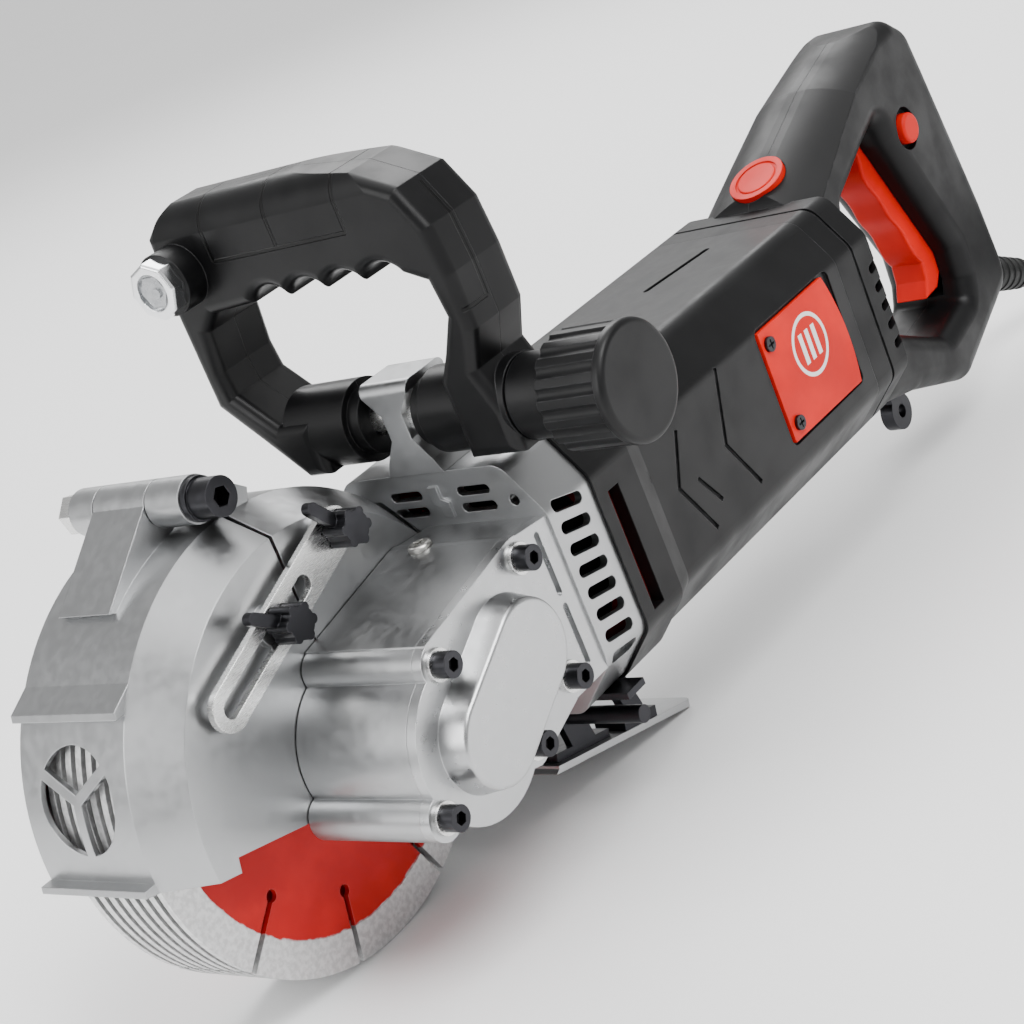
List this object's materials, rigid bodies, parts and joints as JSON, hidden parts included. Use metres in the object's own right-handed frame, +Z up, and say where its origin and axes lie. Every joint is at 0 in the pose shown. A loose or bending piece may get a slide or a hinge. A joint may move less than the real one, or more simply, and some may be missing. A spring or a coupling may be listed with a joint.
{
  "type": "wall chaser",
  "caption": "Corded wall chaser with a stack of diamond blades under a two-part guard, a base plate, a swivelling front handle with a lamp, and a D-shaped rear handle.",
  "frame": {"origin": "on the floor, under the middle of the tool without its free cord", "axes": "+X forward along the motor towards the blade guard, +Y to the tool's left where the gear cover and the knob are, +Z up"},
  "size_m": [0.7768, 0.2444, 0.247],
  "materials": {
    "cast_aluminium": "satin cast",
    "black_plastic": "fine-grained, satin",
    "red_plastic": "semi-gloss",
    "red_baffle": "matte",
    "label_red": "semi-gloss paint",
    "bright_steel": "zinc-plated, satin",
    "dark_steel": "black oxide",
    "plated_steel": "zinc-plated",
    "gear_steel": "ground",
    "laminated_steel": "laminated",
    "copper": "turned",
    "fan_plastic": "moulded",
    "red_blade": "painted core, bare bronze-steel segments",
    "lamp_chrome": "polished",
    "lamp_glass": "clear over grey reflector",
    "cord_rubber": "matte"
  },
  "bodies": {
    "housing": {"gear_housing": "cast_aluminium", "gear_cover": "cast_aluminium", "fan_housing": "cast_aluminium", "guard_rear": "cast_aluminium", "handle_bracket": "cast_aluminium", "motor_case": "black_plastic", "rear_handle_left": "black_plastic", "rear_handle_right": "black_plastic", "switch_module": "black_plastic", "brush_holders": "black_plastic", "handle_cap": "red_plastic", "air_guide": "red_baffle", "label_plate": "label_red", "cover_washers": "bright_steel", "handle_bar": "bright_steel", "base_plate": "bright_steel", "base_bracket": "bright_steel", "base_rear_arm": "bright_steel", "guard_hinge_nut": "bright_steel", "cover_bolts": "dark_steel", "label_screws": "dark_steel", "handle_screws": "dark_steel", "guard_hinge_bolt": "dark_steel", "hang_ring": "dark_steel", "housing_screw": "plated_steel", "motor_bearings": "gear_steel", "cross_shaft_bearings": "gear_steel", "spindle_bearings": "gear_steel", "stator": "laminated_steel", "cord_gland": "cord_rubber", "power_cord": "cord_rubber", "cord_coil": "cord_rubber", "cord_plug": "cord_rubber", "cord_tie": "cord_rubber"},
    "armature": {"armature_shaft": "gear_steel", "armature_core": "laminated_steel", "commutator": "copper", "cooling_fan": "fan_plastic", "bevel_pinion": "gear_steel"},
    "cross": {"cross_shaft": "gear_steel", "bevel_gear": "gear_steel", "spur_pinion": "gear_steel"},
    "spindle": {"spindle": "bright_steel", "spur_gear": "gear_steel", "blades": "red_blade", "blade_spacers": "gear_steel", "clamp_flanges": "bright_steel", "spindle_nut": "bright_steel"},
    "guard_front": {"guard_front": "cast_aluminium"},
    "link_arm": {"link_arm": "bright_steel"},
    "upper_clamp_screw": {"upper_clamp_screw": "dark_steel"},
    "lower_clamp_screw": {"lower_clamp_screw": "dark_steel"},
    "front_handle": {"front_handle_front": "black_plastic", "front_handle_back": "black_plastic", "lamp_bezel": "lamp_chrome", "lamp_lens": "lamp_glass"},
    "lamp_button": {"lamp_button": "black_plastic"},
    "clamp_knob": {"clamp_knob": "black_plastic"},
    "trigger": {"trigger": "red_plastic"},
    "lock_button": {"lock_button": "red_plastic"}
  },
  "joints": [
    {"name": "spindle_spin", "type": "hinge", "parent": "housing", "child": "spindle", "pos_m": [0.19849, -0.05075, 0.078], "axis": [0, 1, 0], "continuous": true},
    {"name": "cross_spin", "type": "hinge", "parent": "housing", "child": "cross", "pos_m": [0.17196, 0.01925, 0.092], "axis": [0, 1, 0], "continuous": true},
    {"name": "armature_spin", "type": "hinge", "parent": "housing", "child": "armature", "pos_m": [0.04849, -0.00275, 0.092], "axis": [1, 0, 0], "continuous": true},
    {"name": "guard_hinge", "type": "hinge", "parent": "housing", "child": "guard_front", "pos_m": [0.20438, -0.05075, 0.16964], "axis": [0, -1, 0], "range_deg": [0, 40]},
    {"name": "link_arm_pivot", "type": "hinge", "parent": "housing", "child": "link_arm", "pos_m": [0.17622, -0.00475, 0.14181], "axis": [0, -1, 0], "range_deg": [0, 22]},
    {"name": "upper_screw_turn", "type": "hinge", "parent": "housing", "child": "upper_clamp_screw", "pos_m": [0.17622, -0.00475, 0.14181], "axis": [0, 1, 0], "range_deg": [0, 90]},
    {"name": "lower_screw_turn", "type": "hinge", "parent": "guard_front", "child": "lower_clamp_screw", "pos_m": [0.21295, -0.00475, 0.12836], "axis": [0, 1, 0], "range_deg": [0, 90]},
    {"name": "front_handle_swivel", "type": "hinge", "parent": "housing", "child": "front_handle", "pos_m": [0.12649, -0.00275, 0.158], "axis": [0, 1, 0], "range_deg": [-60, 25]},
    {"name": "knob_turn", "type": "hinge", "parent": "housing", "child": "clamp_knob", "pos_m": [0.12649, 0.08125, 0.158], "axis": [0, 1, 0], "range_deg": [0, 360]},
    {"name": "lamp_button_press", "type": "slide", "parent": "front_handle", "child": "lamp_button", "axis": [0, 1, 0], "range_m": [0, 0.0015], "stiffness_N_per_m": 300},
    {"name": "trigger_pull", "type": "hinge", "parent": "housing", "child": "trigger", "pos_m": [-0.17851, -0.00275, 0.139], "axis": [0, 1, 0], "range_deg": [0, 8], "stiffness_Nm_per_rad": 0.6, "springref_deg": -2.86},
    {"name": "lock_button_press", "type": "slide", "parent": "housing", "child": "lock_button", "axis": [0, -1, 0], "range_m": [0, 0.003], "stiffness_N_per_m": 300}
  ],
  "couplings": [
    {"joint": "cross_spin", "follows": "spindle_spin", "ratio": -1.8571},
    {"joint": "armature_spin", "follows": "spindle_spin", "ratio": -3.5455},
    {"joint": "link_arm_pivot", "follows": "guard_hinge", "ratio": 0.543}
  ]
}
